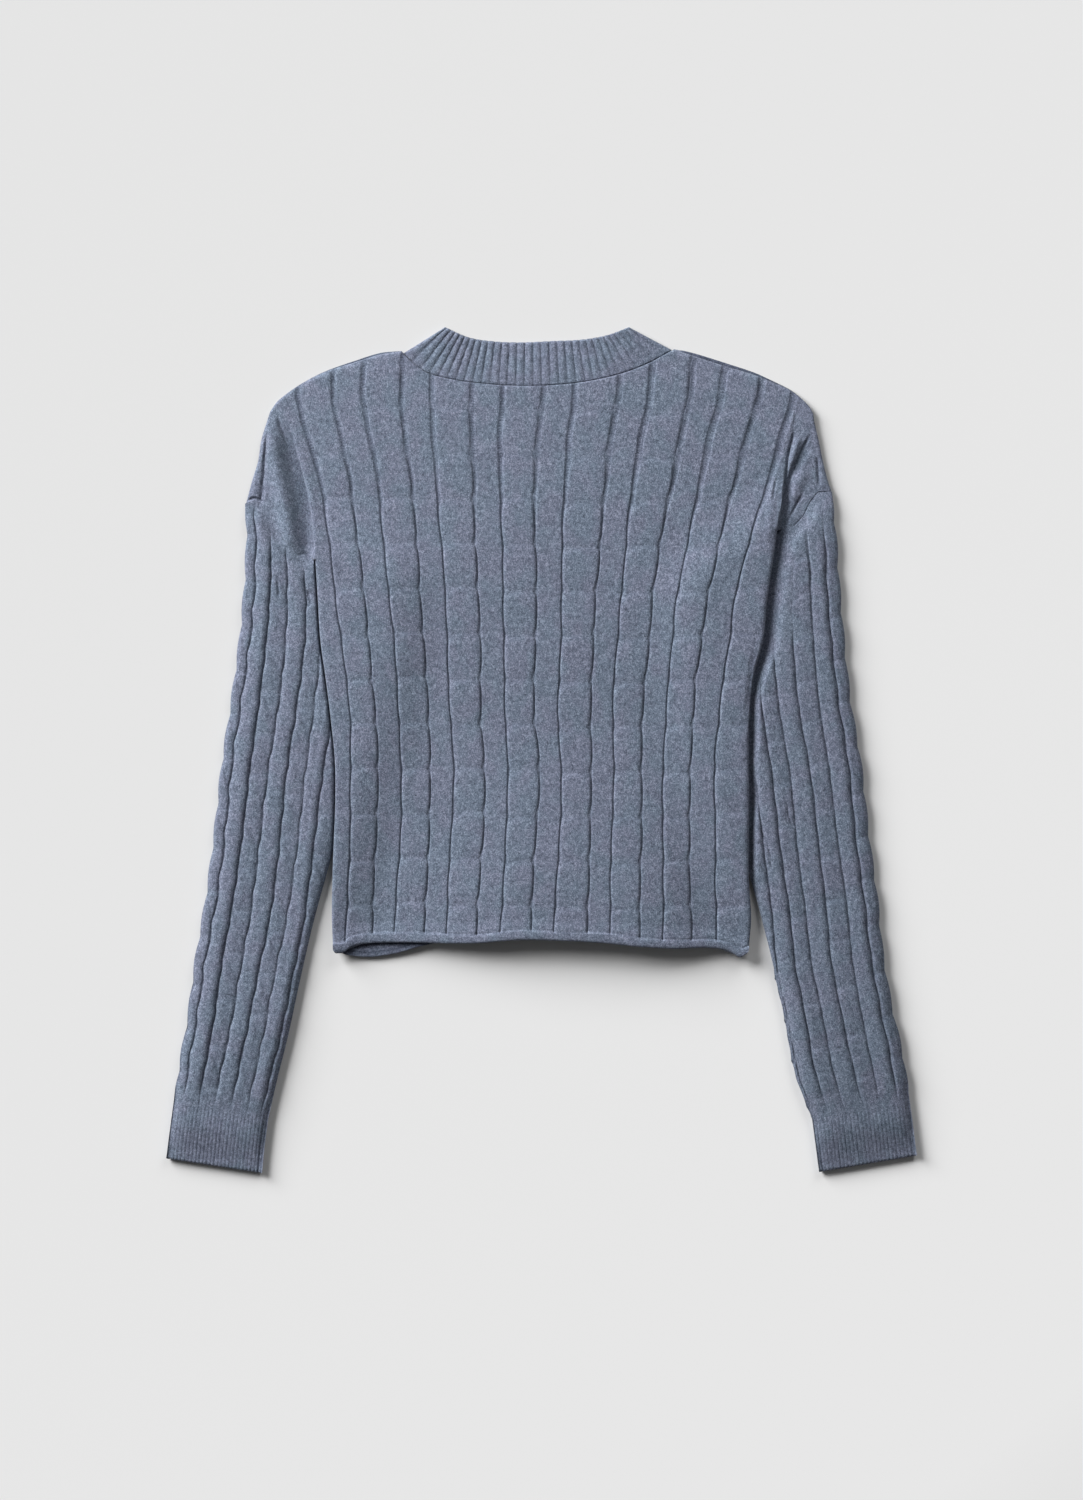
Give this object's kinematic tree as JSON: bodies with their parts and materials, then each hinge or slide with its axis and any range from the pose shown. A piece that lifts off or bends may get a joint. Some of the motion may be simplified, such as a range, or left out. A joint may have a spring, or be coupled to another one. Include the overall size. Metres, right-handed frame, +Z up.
{
  "type": "cropped knit sweater",
  "caption": "Cropped cable-knit sweater laid flat with its back upwards, with dropped shoulders, long sleeves, ribbed neck band and cuffs, and a rolled hem.",
  "frame": {"origin": "centre of the garment's bounding box, on the surface it lies on", "axes": "+X to the right of the garment as it lies, +Y from the hem towards the neck, +Z up from the surface it lies on"},
  "size_m": [0.6004, 0.6768, 0.0104],
  "materials": {
    "yarn": "matte heathered knit"
  },
  "bodies": {
    "root": {"front_panel": "yarn", "back_panel": "yarn", "sleeve_left": "yarn", "sleeve_right": "yarn", "cuff_left": "yarn", "cuff_right": "yarn", "neck_band": "yarn"}
  },
  "joints": []
}
